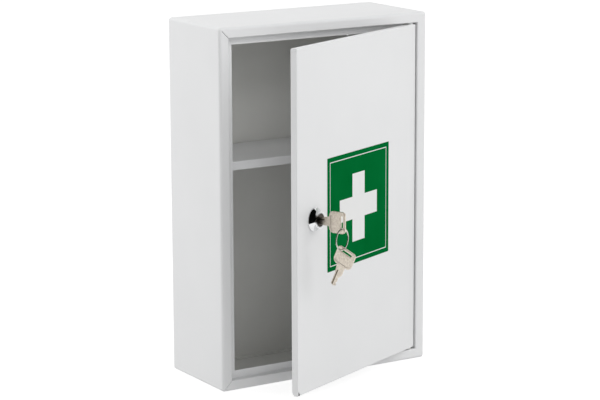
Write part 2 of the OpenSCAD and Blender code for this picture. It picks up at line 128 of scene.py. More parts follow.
def make_piece(name, mesh, finishes, place=Matrix()):
    """An object from a mesh in millimetres, put in its place in the mesh itself."""
    bmesh.ops.transform(mesh, matrix=place @ Matrix.Scale(MM, 4), verts=mesh.verts)
    bmesh.ops.remove_doubles(mesh, verts=mesh.verts, dist=MERGE)
    bmesh.ops.dissolve_degenerate(mesh, dist=MERGE / 4, edges=mesh.edges)
    bmesh.ops.recalc_face_normals(mesh, faces=mesh.faces)
    data = bpy.data.meshes.new(name)
    mesh.to_mesh(data)
    mesh.free()
    for finish in finishes:
        data.materials.append(finish)
    piece = bpy.data.objects.new(name, data)
    bpy.context.collection.objects.link(piece)
    return piece


def settle(piece):
    """Makes what a piece's modifiers show its plain mesh."""
    graph = bpy.context.evaluated_depsgraph_get()
    piece_mesh = bpy.data.meshes.new_from_object(piece.evaluated_get(graph))
    piece.modifiers.clear()
    piece.data = piece_mesh


def carve(piece, *cutters):
    """Cuts each cutter out of a piece and throws the cutter away."""
    for cutter in cutters:
        cut = piece.modifiers.new("cut", "BOOLEAN")
        cut.operation, cut.solver, cut.object = "DIFFERENCE", "EXACT", cutter
    settle(piece)
    for cutter in cutters:
        bpy.data.objects.remove(cutter)


def smooth(piece, sharp=32):
    """Shades folds and curves smoothly, and keeps flat faces flat."""
    piece.data.shade_smooth()
    piece.data.set_sharp_from_angle(angle=math.radians(sharp))
    even = piece.modifiers.new("even_shading", "WEIGHTED_NORMAL")
    even.keep_sharp = True


def make_finish(name, dark, light, rough, tint, relief, metallic=0.0, stretch=(1, 1, 1), **sockets):
    """A finish that drifts between two tints and two roughnesses over tint metres, with a fine
    relief given as (size of its grain, depth) in metres. stretch draws the grain out."""
    finish = bpy.data.materials.new(name)
    finish.use_nodes = True
    nodes, link = finish.node_tree.nodes, finish.node_tree.links.new
    shader = nodes["Principled BSDF"]
    coords = nodes.new("ShaderNodeTexCoord")
    drawn = nodes.new("ShaderNodeMapping")
    drawn.inputs["Scale"].default_value = stretch
    link(coords.outputs["Object"], drawn.inputs["Vector"])

    drift = nodes.new("ShaderNodeTexNoise")
    drift.inputs["Scale"].default_value = 1 / tint
    drift.inputs["Detail"].default_value = 4
    link(drawn.outputs["Vector"], drift.inputs["Vector"])
    shades = nodes.new("ShaderNodeValToRGB")
    shades.color_ramp.elements[0].position = 0.3
    shades.color_ramp.elements[1].position = 0.7
    shades.color_ramp.elements[0].color = (*dark, 1)
    shades.color_ramp.elements[1].color = (*light, 1)
    link(drift.outputs["Fac"], shades.inputs["Fac"])
    link(shades.outputs["Color"], shader.inputs["Base Color"])

    patches = nodes.new("ShaderNodeTexNoise")
    patches.inputs["Scale"].default_value = 3 / tint
    patches.inputs["Detail"].default_value = 3
    link(drawn.outputs["Vector"], patches.inputs["Vector"])
    gloss = nodes.new("ShaderNodeMapRange")
    gloss.inputs["To Min"].default_value, gloss.inputs["To Max"].default_value = rough
    link(patches.outputs["Fac"], gloss.inputs["Value"])
    link(gloss.outputs["Result"], shader.inputs["Roughness"])

    grain = nodes.new("ShaderNodeTexNoise")
    grain.inputs["Scale"].default_value = 1 / relief[0]
    grain.inputs["Detail"].default_value = 2
    link(drawn.outputs["Vector"], grain.inputs["Vector"])
    bump = nodes.new("ShaderNodeBump")
    bump.inputs["Strength"].default_value = 1
    bump.inputs["Distance"].default_value = relief[1]
    link(grain.outputs["Fac"], bump.inputs["Height"])
    link(bump.outputs["Normal"], shader.inputs["Normal"])

    shader.inputs["Metallic"].default_value = metallic
    for socket, value in sockets.items():
        shader.inputs[socket.replace("_", " ")].default_value = value
    return finish


white_coat = make_finish(
    "white_powder_coat", (0.775, 0.780, 0.785), (0.800, 0.804, 0.808),
    rough=(0.36, 0.46), tint=0.09, relief=(0.0011, 0.000010), IOR=1.5,
)
# The inner coat is a little darker and warmer than the outer one: painted shade inside the case
inner_coat_painted_shade = make_finish(
    "inner_powder_coat_painted_shade", (0.755, 0.755, 0.728), (0.795, 0.795, 0.768),
    rough=(0.5, 0.62), tint=0.05, relief=(0.0008, 0.000012), IOR=1.5,
)
# Near-black painted shade for the open mitres and for the floor of the door's nick
seam_painted_shade = make_finish(
    "seam_painted_shade", (0.07, 0.07, 0.07), (0.12, 0.12, 0.12),
    rough=(0.6, 0.7), tint=0.01, relief=(0.0008, 0.00001),
)

case_spread = [MITRE * s for s in (-1, -0.67, -0.33, 0, 0.33, 0.67, 1)]
outer_fold = arc(CASE_FOLD, FRONT + CASE_FOLD, CASE_FOLD, 180, 270)
rebate_fold = arc(FLANGE - REBATE_FOLD, FRONT + REBATE_FOLD, REBATE_FOLD, -90, 0)
inner_fold = arc(CASE_FOLD, FRONT + CASE_FOLD, CASE_FOLD - SHEET, 270, 180)
# Each row of the profile: inset, y, how far the mitre is open there, and which finish follows
case_rows = [(0, BACK - RAW_EDGE, 0, 0)]
case_rows += [(d, y, 0, 0) for d, y in outer_fold]
case_rows += [(CASE_FOLD + MITRE, FRONT, 1, 0), (FLANGE / 2, FRONT, 1, 0)]
case_rows += [(d, y, 1 - i / 8, 0) for i, (d, y) in enumerate(rebate_fold)]
case_rows += [(FLANGE, REBATE_MID, 0, 0), (FLANGE, LIP_BACK - RAW_EDGE, 0, 0)]
case_rows += [(FLANGE - RAW_EDGE, LIP_BACK, 0, 0), (FLANGE - SHEET + RAW_EDGE, LIP_BACK, 0, 0)]
# The inside of the flange and of the fold take the inner coat, which is painted shade
case_rows += [(FLANGE - SHEET, LIP_BACK - RAW_EDGE, 0, 1), (FLANGE - SHEET, FRONT + SHEET, 0, 1)]
case_rows += [(d, y, 0, 1) for d, y in inner_fold]
case_rows += [(SHEET, BACK - RAW_EDGE, 0, 0), (SHEET - RAW_EDGE, BACK, 0, 0)]
case_rows += [(RAW_EDGE, BACK, 0, 0)]

case = make_piece(
    "case",
    skin(
        [
            folded_ring(
                CASE_W, CASE_H, d, y, case_spread, CASE_FOLD, (0, MITRE_DEPTH * open_),
                filled=HINGE_SIDE_FILL,
            )
            for d, y, open_, finish in case_rows
        ],
        closed=True,
        bands=[row[3] for row in case_rows],
    ),
    [white_coat, inner_coat_painted_shade, seam_painted_shade],
    shift(0, 0, MIDDLE),
)
# The open mitres on the lock side are painted near-black: painted shade inside the fold
for face in case.data.polygons:
    x, y, z = face.center / MM
    off_mitre = (CASE_W / 2 - abs(x)) - (CASE_H / 2 - abs(z - MIDDLE))
    sunk = FRONT + MITRE_DEPTH / 2 < y < FRONT + 2 * MITRE_DEPTH
    if x < 0 and abs(off_mitre) < MITRE / 2 and sunk:
        face.material_index = 2


# ---------------------------------------------------------------- Pin holes in the case
# A plain round hole is drilled through the rebate's top wall and one through its bottom wall.
# Each takes a riveted hinge pin.

PIN_X, PIN_Y = 102.75, -46
PIN_R = 1.5
PIN_FIT = 0.05
DRILL_REACH = 1.8


def lathe(profile, steps=48, closed=False, reach=None):
    """A turned mesh about z from (radius, height) pairs. reach may change a radius by angle."""
    rings = []
    for row, (radius, z) in enumerate(profile):
        ring = []
        for i in range(steps):
            a = 2 * math.pi * i / steps
            r = reach(radius, z, a) if reach else radius
            ring.append((r * math.cos(a), r * math.sin(a), z))
        rings.append(ring)
    mesh = skin(rings, closed=True)
    if not closed:
        last = len(rings) - 1
        mesh.verts.ensure_lookup_table()
        seam = {v for row in (0, last) for v in mesh.verts[row * steps : (row + 1) * steps]}
        between = [f for f in mesh.faces if all(v in seam for v in f.verts)]
        bmesh.ops.delete(mesh, geom=between, context="FACES_ONLY")
    return mesh


def drill(radius, low, high, place, steps=48):
    """A cutter for a round hole."""
    profile = [(0, low), (radius, low), (radius, high), (0, high)]
    return make_piece("drill", lathe(profile, steps), [], place)


carve(
    case,
    *(
        drill(PIN_R + PIN_FIT, z - DRILL_REACH, z + DRILL_REACH, shift(PIN_X, PIN_Y, 0))
        for z in (FLANGE, CASE_H - FLANGE)
    ),
)
smooth(case)
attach(case, "cabinet")
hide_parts("case_wrap")


# ---------------------------------------------------------------- Stop lip
# A strip of the same sheet behind the rebate, along the lock side, the top and the bottom. The
# shut door meets it. A soft fold joins it to the rebate's walls.

LIP_W = 7.5
LIP_FOLD = 0.8
LIP_END = 96.25

lip_profile = [(FLANGE - 0.1, LIP_BACK), (FLANGE - 0.1, LIP_FACE - LIP_FOLD)]
lip_profile += [
    (FLANGE + LIP_FOLD + x, LIP_FACE - LIP_FOLD + y) for x, y in arc(0, 0, LIP_FOLD, 180, 90)
]
lip_in = FLANGE + LIP_W
lip_profile += [
    (lip_in - RAW_EDGE, LIP_FACE), (lip_in, LIP_FACE + RAW_EDGE),
    (lip_in, LIP_BACK - RAW_EDGE), (lip_in - RAW_EDGE, LIP_BACK),
]
lip_rings = []
for sx, sz, end in ((1, 1, True), (-1, 1, False), (-1, -1, False), (1, -1, True)):
    lip_rings.append([
        (LIP_END if end else sx * (CASE_W / 2 - d), y, sz * (CASE_H / 2 - d))
        for d, y in lip_profile
    ])
stop_lip = make_piece("stop_lip", skin(lip_rings, closed=False), [white_coat], shift(0, 0, MIDDLE))
smooth(stop_lip)
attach(stop_lip, "cabinet")
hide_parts("case_wrap")


# ---------------------------------------------------------------- Back panel
# A shallow pan of the same sheet, its edges folded forward and spot-welded inside the case, with
# four round holes for the screws that hang it on a wall.

WELD_GAP = 0.05
PAN_W, PAN_H = CASE_W - 2 * (SHEET + WELD_GAP), CASE_H - 2 * (SHEET + WELD_GAP)
PAN_EDGE = 8
PAN_FOLD = 1.0
WALL_HOLES = (180, 300)
WALL_HOLE_R = 3
BURR, FLARE = 0.2, 1.5
OUTER_BANDS, PAN_SEAM = 9, 0.6

pan_spread = (-SEAM, -SEAM / 2, 0, SEAM / 2, SEAM)
rim = BACK - PAN_EDGE
pan_rows = [(PAN_FOLD, BACK, 0)]
pan_rows += [(PAN_FOLD + x, BACK - PAN_FOLD + y, 1) for x, y in arc(0, 0, PAN_FOLD, 90, 180)]
pan_rows += [(0, rim + RAW_EDGE, 1), (RAW_EDGE, rim, 0.6), (SHEET - RAW_EDGE, rim, 0)]
pan_rows += [(SHEET, rim + RAW_EDGE, 0)]
pan_rows += [
    (PAN_FOLD + x, BACK - PAN_FOLD + y, 0) for x, y in arc(0, 0, PAN_FOLD - SHEET, 180, 90)
]
back_panel = make_piece(
    "back_panel",
    skin(
        [
            folded_ring(PAN_W, PAN_H, d, y, pan_spread, sink=(PAN_SEAM * o, 0))
            for d, y, o in pan_rows
        ],
        closed=False,
        # The pan's inner rows take the inner coat: painted shade
        bands=[0] * OUTER_BANDS + [1] * (len(pan_rows) - OUTER_BANDS),
    ),
    [white_coat, inner_coat_painted_shade],
    shift(0, 0, MIDDLE),
)
wall_drill = [(0, -FLARE), (WALL_HOLE_R + FLARE, -FLARE)]
wall_drill += [(WALL_HOLE_R + BURR, 0), (WALL_HOLE_R, BURR)]
wall_drill += [(r, SHEET - z) for r, z in reversed(wall_drill)]
carve(
    back_panel,
    *(
        make_piece(
            "drill", lathe(wall_drill), [],
            shift(sx * WALL_HOLES[0] / 2, BACK, z) @ turn(90, "X"),
        )
        for sx in (-1, 1)
        for z in (MIDDLE - WALL_HOLES[1] / 2, MIDDLE + WALL_HOLES[1] / 2)
    ),
)
smooth(back_panel)
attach(back_panel, "cabinet")
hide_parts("back_panel")


# ---------------------------------------------------------------- Shelf
# A plain shelf of the same sheet and white coat, with its front and rear edges folded down to
# stiffen it. It lies on the two rails.

SHELF_Z = 227
SHELF_X = 117.95
SHELF_FRONT, SHELF_BACK = -39.27, 48.2
SHELF_EDGE = 8.5


def bar(profile, low, high):
    """A straight length along x of a profile given as (y, z) pairs."""
    return skin([[(x, y, z) for y, z in profile] for x in (low, high)], closed=False)


foot = SHELF_Z - SHELF_EDGE
half_section = [(SHELF_FRONT + RAW_EDGE, foot), (SHELF_FRONT, foot + RAW_EDGE)]
half_section += arc(SHELF_FRONT + FOLD, SHELF_Z - FOLD, FOLD, 180, 90)
inside_section = arc(SHELF_FRONT + FOLD, SHELF_Z - FOLD, FOLD - SHEET, 90, 180)
inside_section += [(SHELF_FRONT + SHEET, foot + RAW_EDGE), (SHELF_FRONT + SHEET - RAW_EDGE, foot)]
shelf_middle = (SHELF_FRONT + SHELF_BACK) / 2
shelf_section = half_section + [(2 * shelf_middle - y, z) for y, z in reversed(half_section)]
shelf_section += [(2 * shelf_middle - y, z) for y, z in reversed(inside_section)] + inside_section
shelf = make_piece("shelf", bar(shelf_section, -SHELF_X, SHELF_X), [white_coat])
smooth(shelf)
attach(shelf, "cabinet")
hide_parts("shelf")


# ---------------------------------------------------------------- Shelf rails
# Each end of the shelf lies on an angle of 1 mm steel that is spot-welded to the case's side.
# The welds show as shallow round marks, which repeat, so Geometry Nodes set them out.

RAIL = 12
RAIL_T = 1
RAIL_FOLD = 1.4
RAIL_FRONT, RAIL_BACK = -37.47, 41
RAIL_TOP = SHELF_Z - SHEET
SIDE_IN = CASE_W / 2 - SHEET
SPOTS, SPOT_PITCH, FIRST_SPOT_Y = 3, 30, -28
SPOT_R = 2.4
SPOT_RISE = 0.12


def named_inputs(tree, **kinds):
    """Gives a tree these inputs, and returns the identifier of each by its name."""
    sockets = {}
    for name, kind in kinds.items():
        socket = tree.interface.new_socket(
            name, in_out="INPUT", socket_type="NodeSocket" + kind
        )
        sockets[name] = socket.identifier
    return sockets


def weld_spots_tree():
    """Shallow round weld marks in a row along x, facing +z."""
    tree = bpy.data.node_groups.new("weld_spots", "GeometryNodeTree")
    sockets = named_inputs(
        tree, Count="Int", Pitch="Float", Radius="Float", Rise="Float", Finish="Material"
    )
    tree.interface.new_socket("Spots", in_out="OUTPUT", socket_type="NodeSocketGeometry")
    nodes, link = tree.nodes, tree.links.new
    given, made = nodes.new("NodeGroupInput"), nodes.new("NodeGroupOutput")
    row = nodes.new("GeometryNodeMeshLine")
    step = nodes.new("ShaderNodeCombineXYZ")
    spot = nodes.new("GeometryNodeMeshCone")
    shoulder = nodes.new("ShaderNodeMath")
    shoulder.operation = "MULTIPLY"
    shoulder.inputs[1].default_value = 0.75
    spot.inputs["Vertices"].default_value = 24
    put = nodes.new("GeometryNodeInstanceOnPoints")
    real = nodes.new("GeometryNodeRealizeInstances")
    coat = nodes.new("GeometryNodeSetMaterial")
    link(given.outputs["Pitch"], step.inputs["X"])
    link(given.outputs["Count"], row.inputs["Count"])
    link(step.outputs["Vector"], row.inputs["Offset"])
    link(given.outputs["Radius"], spot.inputs["Radius Bottom"])
    link(given.outputs["Radius"], shoulder.inputs[0])
    link(shoulder.outputs["Value"], spot.inputs["Radius Top"])
    link(given.outputs["Rise"], spot.inputs["Depth"])
    link(row.outputs["Mesh"], put.inputs["Points"])
    link(spot.outputs["Mesh"], put.inputs["Instance"])
    link(put.outputs["Instances"], real.inputs["Geometry"])
    link(real.outputs["Geometry"], coat.inputs["Geometry"])
    link(given.outputs["Finish"], coat.inputs["Material"])
    link(coat.outputs["Geometry"], made.inputs["Spots"])
    return tree, sockets


def grow(name, tree, sockets, values, place):
    """A plain mesh from a node tree with these values for its named inputs, put in its place."""
    piece = bpy.data.objects.new(name, bpy.data.meshes.new(name))
    bpy.context.collection.objects.link(piece)
    maker = piece.modifiers.new("maker", "NODES")
    maker.node_group = tree
    for socket, value in values.items():
        maker[sockets[socket]] = value
    settle(piece)
    piece.data.transform(place)
    return piece


weld_spots, weld_sockets = weld_spots_tree()


def spot_row(name, count, pitch, finish, place):
    values = {
        "Count": count, "Pitch": pitch * MM, "Radius": SPOT_R * MM, "Rise": SPOT_RISE * MM,
        "Finish": finish,
    }
    row = grow(name, weld_spots, weld_sockets, values, place)
    smooth(row)
    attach(row, "cabinet")


rail_section = arc(RAIL_FOLD, -RAIL_FOLD, RAIL_FOLD, 180, 90)
rail_section += [(RAIL - RAW_EDGE, 0), (RAIL, -RAW_EDGE), (RAIL, RAW_EDGE - RAIL_T)]
rail_section += [(RAIL - RAW_EDGE, -RAIL_T)]
rail_section += arc(RAIL_FOLD, -RAIL_FOLD, RAIL_FOLD - RAIL_T, 90, 180)
rail_section += [(RAIL_T, RAW_EDGE - RAIL), (RAIL_T - RAW_EDGE, -RAIL), (RAW_EDGE, -RAIL)]
rail_section += [(0, RAW_EDGE - RAIL)]
for side, sign in (("left", -1), ("right", 1)):
    rail_mesh = skin(
        [
            [(sign * (SIDE_IN - across), y, RAIL_TOP + z) for across, z in rail_section]
            for y in (RAIL_FRONT, RAIL_BACK)
        ],
        closed=False,
    )
    # The rail and its weld marks take the inner coat: painted shade inside the case
    rail = make_piece(f"shelf_rail_{side}", rail_mesh, [inner_coat_painted_shade])
    smooth(rail)
    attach(rail, "cabinet")
    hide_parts(f"shelf_rail_{side}")
    # Along the rail, on the leg that is welded to the side
    first_spot = shift(sign * (SIDE_IN - RAIL_T), FIRST_SPOT_Y, RAIL_TOP - RAIL / 2)
    spot_row(
        f"rail_spots_{side}", SPOTS, SPOT_PITCH, inner_coat_painted_shade,
        first_spot @ turn(90, "Z") @ turn(-90 * sign, "X"),
    )


# ---------------------------------------------------------------- Hinge pins
# Two short steel pins, zinc-plated and riveted over behind the rebate's top and bottom walls.
# The door's bushes turn on them.

PIN_TOP = CASE_H - FLANGE + SHEET
PIN_LENGTH, PIN_BEVEL = 7.55, 0.3
HEAD_R, HEAD_T, HEAD_ROUND = 2.7, 1.2, 0.95

zinc = make_finish(
    "zinc_plate", (0.50, 0.51, 0.52), (0.66, 0.67, 0.68),
    rough=(0.26, 0.42), tint=0.006, relief=(0.0004, 0.000006), metallic=1.0,
)

pin_profile = [(0, -PIN_LENGTH), (PIN_R - PIN_BEVEL, -PIN_LENGTH)]
pin_profile += [(PIN_R, PIN_BEVEL - PIN_LENGTH), (PIN_R, 0)]
pin_profile += [(HEAD_R, 0), (HEAD_R, HEAD_T - HEAD_ROUND)]
pin_profile += arc(HEAD_R - HEAD_ROUND, HEAD_T - HEAD_ROUND, HEAD_ROUND, 0, 90, 5)
pin_profile += [(0, HEAD_T)]
foot_up = shift(0, 0, CASE_H) @ Matrix.Scale(-1, 4, (0, 0, 1))
for end, flip in (("upper", Matrix()), ("lower", foot_up)):
    pin = make_piece(
        f"hinge_pin_{end}", lathe(pin_profile, 32), [zinc], flip @ shift(PIN_X, PIN_Y, PIN_TOP)
    )
    smooth(pin)
    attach(pin, "cabinet")
    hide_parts(f"hinge_pin_{end}")


# ---------------------------------------------------------------- Door
# A shallow pan of the same sheet. Its four edges fold back, and each fold's end is cut back in a
# curve to clear its neighbour, with a small nick at the foot. It stands open on its two pins.

DOOR_REST = 24.5
DOOR_W, DOOR_H = 215.5, 335.5
DOOR_EDGE, DOOR_SEAM = 6.8, 0.7
HEAD_CLIP, FOOT_CLIP = (1.0, 0.8), (5.0, 3.6)
LOCK_X, LOCK_Z = -78.25, 181
BARREL_R, BARREL_FLAT = 8, 7
BUSH_R = 2.2
NICK_W, NICK_H, NICK_DEPTH = 3.4, 4.8, 0.55
NICK_IN, NICK_UP = 1.0, 0.6

door_open = shift(PIN_X, PIN_Y, 0) @ turn(DOOR_REST, "Z") @ shift(-PIN_X, -PIN_Y, 0)


def clipped(s, sz):
    """How far a fold's rear edge is cut back at that distance from a corner at the head or foot."""
    reach, depth = HEAD_CLIP if sz > 0 else FOOT_CLIP
    return depth * (1 - math.sqrt(1 - (1 - min(s, reach) / reach) ** 2))


near = (FOOT_CLIP[0], 4.2, 3.3, 2.5, 1.8, 1.2, 0.7, SEAM)
door_spread = [-s for s in near] + [-SEAM / 2, 0, SEAM / 2] + list(reversed(near))
rear = FRONT + DOOR_EDGE
door_rows = [
    (d, y, min(1, i / 2), None) for i, (d, y) in enumerate(arc(FOLD, FRONT + FOLD, FOLD, 270, 180))
]
door_rows += [(0, rear - RAW_EDGE, 1, clipped), (RAW_EDGE, rear, 0.7, clipped)]
door_rows += [(SHEET - RAW_EDGE, rear, 0, clipped), (SHEET, rear - RAW_EDGE, 0, clipped)]
door_rows += [(d, y, 0, None) for d, y in arc(FOLD, FRONT + FOLD, FOLD - SHEET, 180, 270)]
door = make_piece(
    "door",
    skin(
        [
            folded_ring(DOOR_W, DOOR_H, d, y, door_spread, sink=(DOOR_SEAM * o, 0), trim=cut)
            for d, y, o, cut in door_rows
        ],
        closed=False,
    ),
    [white_coat, seam_painted_shade],
    shift(0, 0, MIDDLE),
)


def double_flat(radius, flat):
    """Radius of a round section with two flats, at each angle."""
    return lambda r, z, a: min(r, flat / max(abs(math.cos(a)), 1e-6)) if r > flat else r


bush_holes = [
    drill(BUSH_R + PIN_FIT, z - DRILL_REACH, z + DRILL_REACH, shift(PIN_X, PIN_Y, 0))
    for z in (MIDDLE - DOOR_H / 2, MIDDLE + DOOR_H / 2)
]
lock_bore = BARREL_R + PIN_FIT
lock_hole = make_piece(
    "drill",
    lathe(
        [(0, -DRILL_REACH), (lock_bore, -DRILL_REACH), (lock_bore, DRILL_REACH), (0, DRILL_REACH)],
        reach=double_flat(lock_bore, BARREL_FLAT + PIN_FIT),
    ),
    [],
    shift(LOCK_X, FRONT, LOCK_Z) @ turn(90, "X"),
)
# The front is nicked at its foot on the lock side, where the two folds meet
nick_x, nick_z = NICK_IN - DOOR_W / 2, MIDDLE - DOOR_H / 2 + NICK_UP
nick_outline = [(nick_x, nick_z), (nick_x + NICK_W, nick_z), (nick_x, nick_z + NICK_H)]
nick_mesh = skin(
    [[(x, y, z) for x, z in nick_outline] for y in (FRONT - 1, FRONT + NICK_DEPTH)], closed=False
)
carve(door, lock_hole, make_piece("drill", nick_mesh, []), *bush_holes)
# The nick's floor is painted near-black: painted shade in the recess
for face in door.data.polygons:
    x, y, z = face.center / MM
    in_nick = nick_x < x < nick_x + NICK_W and nick_z < z < nick_z + NICK_H
    if in_nick and abs(y - FRONT - NICK_DEPTH) < RAW_EDGE:
        face.material_index = 1
door.data.transform(door_open)
smooth(door)
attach(door, "door")
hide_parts("door_panel")


# ---------------------------------------------------------------- Hinge bushes
# White nylon bushes pressed into the door's top and bottom edges, each with a collar that stands
# on the edge. They turn with the door round the pins.

COLLAR_R = 2.7
COLLAR_TOP = 1.45
BUSH_LENGTH = 6
BUSH_BEVEL, COLLAR_BEVEL, BORE_BEVEL = 0.2, 0.25, 0.15

nylon = make_finish(
    "white_nylon", (0.80, 0.79, 0.74), (0.86, 0.85, 0.80),
    rough=(0.42, 0.55), tint=0.004, relief=(0.0005, 0.000006), Subsurface_Weight=0.15,
)

bore = PIN_R + PIN_FIT
bush_profile = [(bore, -BUSH_LENGTH), (BUSH_R - BUSH_BEVEL, -BUSH_LENGTH)]
bush_profile += [(BUSH_R, BUSH_BEVEL - BUSH_LENGTH), (BUSH_R, 0), (COLLAR_R, 0)]
bush_profile += [(COLLAR_R, COLLAR_TOP - COLLAR_BEVEL), (COLLAR_R - COLLAR_BEVEL, COLLAR_TOP)]
bush_profile += [(bore + BORE_BEVEL, COLLAR_TOP), (bore, COLLAR_TOP - BORE_BEVEL)]
for end, flip in (("upper", Matrix()), ("lower", foot_up)):
    bush = make_piece(
        f"hinge_bush_{end}", lathe(bush_profile, 32, closed=True), [nylon],
        flip @ shift(PIN_X, PIN_Y, MIDDLE + DOOR_H / 2) @ turn(DOOR_REST, "Z"),
    )
    smooth(bush)
    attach(bush, "door")
    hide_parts(f"hinge_bush_{end}")


# ---------------------------------------------------------------- First-aid sign
# A self-adhesive square of white film on the door's face, printed green round a white cross and
# a thin white line, where the film shows.

SIGN = 112
SIGN_Z = 180
FILM, PRINT = 0.15, 0.1
SIGN_CORNER = 0.8
FILM_EDGE, PRINT_EDGE = 0.04, 0.03
LINE_IN, LINE_W = 4.6, 0.9
CROSS, ARM = 68, 22.4

film_white = make_finish(
    "white_film", (0.78, 0.785, 0.78), (0.80, 0.80, 0.795),
    rough=(0.30, 0.36), tint=0.05, relief=(0.0006, 0.000003), Specular_IOR_Level=0.3,
)
print_green = make_finish(
    "green_print", (0.0004, 0.128, 0.026), (0.0012, 0.150, 0.034),
    rough=(0.30, 0.38), tint=0.04, relief=(0.0006, 0.000003), Specular_IOR_Level=0.0,
)


def inset_loop(loop, by):
    """A closed outline moved to its left, which is into the plate, by a distance."""
    moved = []
    for i, here in enumerate(loop):
        before, after = Vector(loop[i - 1]), Vector(loop[(i + 1) % len(loop)])
        here = Vector(here)
        one, two = (here - before).normalized(), (after - here).normalized()
        left = Vector((-one.y - two.y, one.x + two.x))
        reach = left.length_squared / 2
        moved.append(here + left * (by / max(reach, 0.5)))
    return moved


def rectangle(width, height, corner=0.0, x=0.0, y=0.0, steps=6, hole=False):
    """Outline of a rectangle with round corners; a hole's outline runs the other way."""
    w, h = width / 2 - corner, height / 2 - corner
    loop = []
    for cx, cy, start in ((w, h, 0), (-w, h, 90), (-w, -h, 180), (w, -h, 270)):
        here = (x + cx, y + cy)
        loop += arc(*here, corner, start, start + 90, steps) if corner else [here]
    return loop[::-1] if hole else loop


def plate(outline, holes=(), low=0.0, high=1.0, edge=0.1, fields=(), field_depth=0.0):
    """A flat plate with rounded edges between two heights. fields are sunk into both its faces."""
    mesh = bmesh.new()
    turns = (0, math.pi / 4, math.pi / 2)
    rounds = [(edge * (1 - math.sin(a)), edge * (1 - math.cos(a))) for a in turns]
    levels = [(inset, low + rise) for inset, rise in rounds]
    levels += [(inset, high - rise) for inset, rise in reversed(rounds)]
    rims = ([], [])

    def ring(loop, inset, z):
        return [mesh.verts.new((p[0], p[1], z)) for p in inset_loop(loop, inset)]

    def wall(rows):
        for here, there in zip(rows, rows[1:]):
            for k in range(len(here)):
                m = (k + 1) % len(here)
                mesh.faces.new((here[k], here[m], there[m], there[k]))

    def edges_of(row):
        pairs = [(row[k - 1], row[k]) for k in range(len(row))]
        return [mesh.edges.get(pair) or mesh.edges.new(pair) for pair in pairs]

    for loop in (outline, *holes):
        rows = [ring(loop, inset, z) for inset, z in levels]
        wall(rows)
        rims[0].extend(edges_of(rows[0]))
        rims[1].extend(edges_of(rows[-1]))
    for loop in fields:
        for side, (z, sink) in enumerate(((low, field_depth), (high, -field_depth))):
            rows = [ring(loop, -field_depth * part, z + sink * part) for part in (0, 0.5, 1)]
            wall(rows)
            mesh.faces.new(rows[-1])
            rims[side].extend(edges_of(rows[0]))
    for rim_edges in rims:
        bmesh.ops.triangle_fill(mesh, use_beauty=True, use_dissolve=False, edges=rim_edges)
    return mesh


on_sign = door_open @ shift(0, FRONT, SIGN_Z) @ turn(90, "X")
sheet = rectangle(SIGN, SIGN, SIGN_CORNER)
sign_film = make_piece("sign_film", plate(sheet, high=FILM, edge=FILM_EDGE), [film_white], on_sign)
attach(sign_film, "door")
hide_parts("sign_film")

line_out = SIGN - 2 * LINE_IN
line_in = line_out - 2 * LINE_W
line_hole = rectangle(line_out, line_out, hole=True)
border = plate(sheet, [line_hole], FILM, FILM + PRINT, PRINT_EDGE)
tip, arm = CROSS / 2, ARM / 2
cross = [(tip, -arm), (arm, -arm), (arm, -tip), (-arm, -tip), (-arm, -arm), (-tip, -arm)]
cross += [(-x, -y) for x, y in cross]
field = plate(rectangle(line_in, line_in), [cross], FILM, FILM + PRINT, PRINT_EDGE)
for name, mesh in (("sign_border", border), ("sign_field", field)):
    printed = make_piece(name, mesh, [print_green], on_sign)
    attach(printed, "door")
    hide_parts("sign_print")


# ---------------------------------------------------------------- Lock housing
# A die-cast zinc cam lock housing, chromed: a waisted cone with a double rim in front of the
# door, and behind it a threaded barrel with two flats that keep it from turning.

PLUG_R, SEAT = 6.05, 4.85
# The double rim as (radius, height): the inner ring, the channel, the outer ring
RIM = [(6.55, 6.9), (6.63, 6.98), (7.0, 6.98), (7.06, 6.9)]
RIM += [(7.06, 6.2), (7.16, 6.05), (7.38, 6.05), (7.48, 6.2)]
RIM += [(7.48, 6.74), (7.56, 6.82), (8.3, 6.82), (8.4, 6.7)]
# The waisted flank as the start, pull and end of a curve
WAIST = ((8.42, 6.4), (9.1, 3.3), (11.05, 1.15))
FOOT_R, FOOT_ROUND, FOOT_BEVEL = 11.5, 0.45, 0.15
BARREL_L = 9
PITCH, THREAD, THREAD_STEPS = 1.0, 0.42, 8
LOCK_STEPS = 96

chrome = make_finish(
    "chrome_plate", (0.70, 0.705, 0.71), (0.78, 0.785, 0.79),
    rough=(0.05, 0.10), tint=0.01, relief=(0.0010, 0.000002), metallic=1.0,
)

on_lock = door_open @ shift(LOCK_X, FRONT, LOCK_Z) @ turn(90, "X")


def curve(start, pull, end, steps=8):
    """Points on a quadratic curve from start to end, drawn towards pull."""
    points = []
    for i in range(steps + 1):
        t = i / steps
        shares = ((1 - t) ** 2, 2 * t * (1 - t), t * t)
        point = [sum(k * c for k, c in zip(shares, axis)) for axis in zip(start, pull, end)]
        points.append(tuple(point))
    return points


def barrel_radius(r, z, a):
    """The thread's ridges on the barrel, cut off by its two flats."""
    if z >= 0 or r <= PLUG_R + 0.5:
        return r
    wave = (z / PITCH + a / (2 * math.pi)) % 1
    ridge = r - THREAD * abs(2 * wave - 1) * min(1, (z + BARREL_L) / PITCH * 2, -z / PITCH)
    return min(ridge, BARREL_FLAT / max(abs(math.cos(a)), 1e-6))


